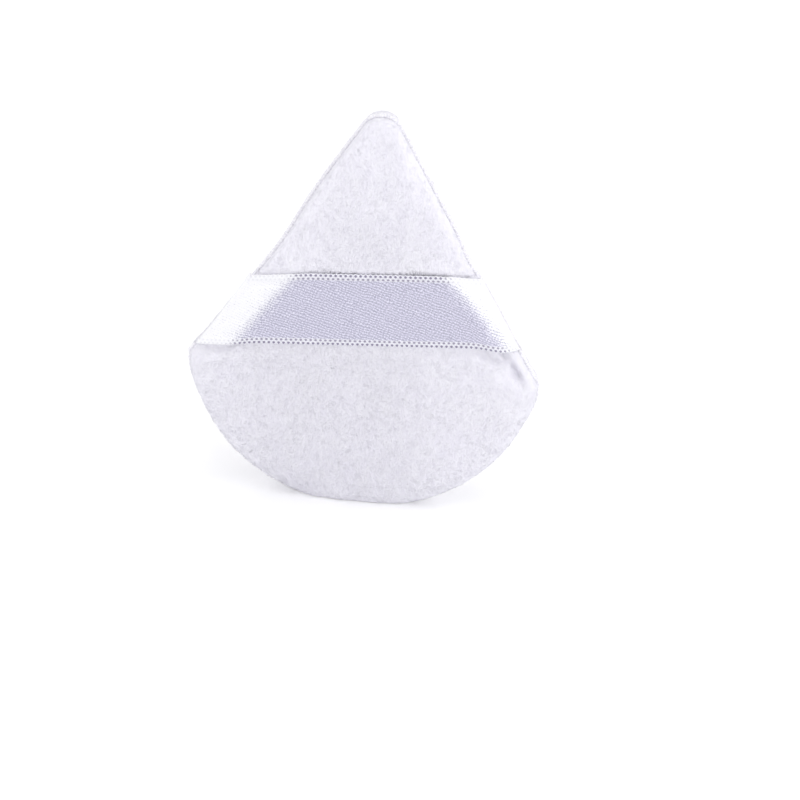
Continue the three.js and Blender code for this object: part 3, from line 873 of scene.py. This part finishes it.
# A white floor that glows for the camera alone, more so away from the puff
def makeStage():
    mesh = bpy.data.meshes.new("floor")
    far = studio["floorHalf"]
    mesh.from_pydata([(-far, -far, 0), (far, -far, 0), (far, far, 0), (-far, far, 0)], [], [(0, 1, 2, 3)])
    floor = bpy.data.objects.new("floor", mesh)
    scene.collection.objects.link(floor)
    finish = Finish("floor_white")
    material = finish.set(Base_Color=shade(*studio["floor"]), Roughness=0.9, Specular_IOR_Level=0.1)
    seen = finish.node("LightPath")
    away = finish.node("VectorMath", {"operation": "LENGTH"}, output=1, i0=finish.position())
    glow = seen * (finish.ramp(away, *studio["glowFrom"]) * studio["glowFar"] + studio["glow"])
    finish.set(Emission_Color=finish.mix(glow, (0, 0, 0, 1), (1, 1, 1, 1)), Emission_Strength=1.0)
    mesh.materials.append(material)


# White behind the object and in its reflections, and dimmer as light on it
def makeWorld(strength):
    world = bpy.data.worlds.new("studio")
    world.use_nodes = True
    tree = world.node_tree
    ground = tree.nodes["Background"]
    path = tree.nodes.new("ShaderNodeLightPath")
    rays = [Term(tree, path.outputs[k]) for k in ("Is Camera Ray", "Is Glossy Ray", "Is Transmission Ray")]
    seen = (rays[0] + rays[1] + rays[2]).math("MINIMUM", 1.0)
    plug(tree, ground.inputs["Strength"], seen * (1 - strength) + strength)
    ground.inputs["Color"].default_value = (1, 1, 1, 1)
    scene.world = world


# An oblong lamp aimed at the puff
def makeLamp(name, place, size, power):
    data = bpy.data.lights.new(name, "AREA")
    data.shape, data.size, data.size_y = "RECTANGLE", *size
    data.energy = power
    lamp = bpy.data.objects.new(name, data)
    lamp.location = place
    lamp.rotation_euler = (Vector(studio["aim"]) - Vector(place)).to_track_quat("-Z", "Y").to_euler()
    scene.collection.objects.link(lamp)


makeStage()
makeWorld(studio["world"])
for name, (place, size, power) in studio["lamps"].items():
    makeLamp(name, place, size, power)
scene.view_settings.view_transform = "Standard"

# The camera's angles are fitted to the puff's outline in the photograph, from 500 mm away. The point
# is seen at the pixel "at", and the scale is in pixels for each millimetre there.
eye = {
    "turn": 1.634, "rise": 33.079, "roll": 4.743, "distance": 500, "scale": 5.414,
    "point": (0, form["seamY"], 40), "at": (368.4, 316.5), "frame": 800, "sensor": 36,
}
turned = (Matrix.Rotation(math.radians(eye["turn"]), 3, "Z")
          @ Matrix.Rotation(math.radians(90 - eye["rise"]), 3, "X")
          @ Matrix.Rotation(math.radians(eye["roll"]), 3, "Z"))
right, up, back = (turned @ Vector(axis) for axis in ((1, 0, 0), (0, 1, 0), (0, 0, 1)))
half = eye["frame"] / 2
offset = right * ((half - eye["at"][0]) / eye["scale"]) + up * ((eye["at"][1] - half) / eye["scale"])
camera = bpy.data.objects.new("camera", bpy.data.cameras.new("camera"))
camera.data.lens = eye["distance"] * eye["scale"] * eye["sensor"] / eye["frame"]
camera.data.clip_start, camera.data.clip_end = 0.01, 20
place = (Vector(eye["point"]) + offset + back * eye["distance"]) * mm
camera.matrix_world = Matrix.Translation(place) @ turned.to_4x4()
scene.collection.objects.link(camera)
scene.camera = camera
print("stage made")
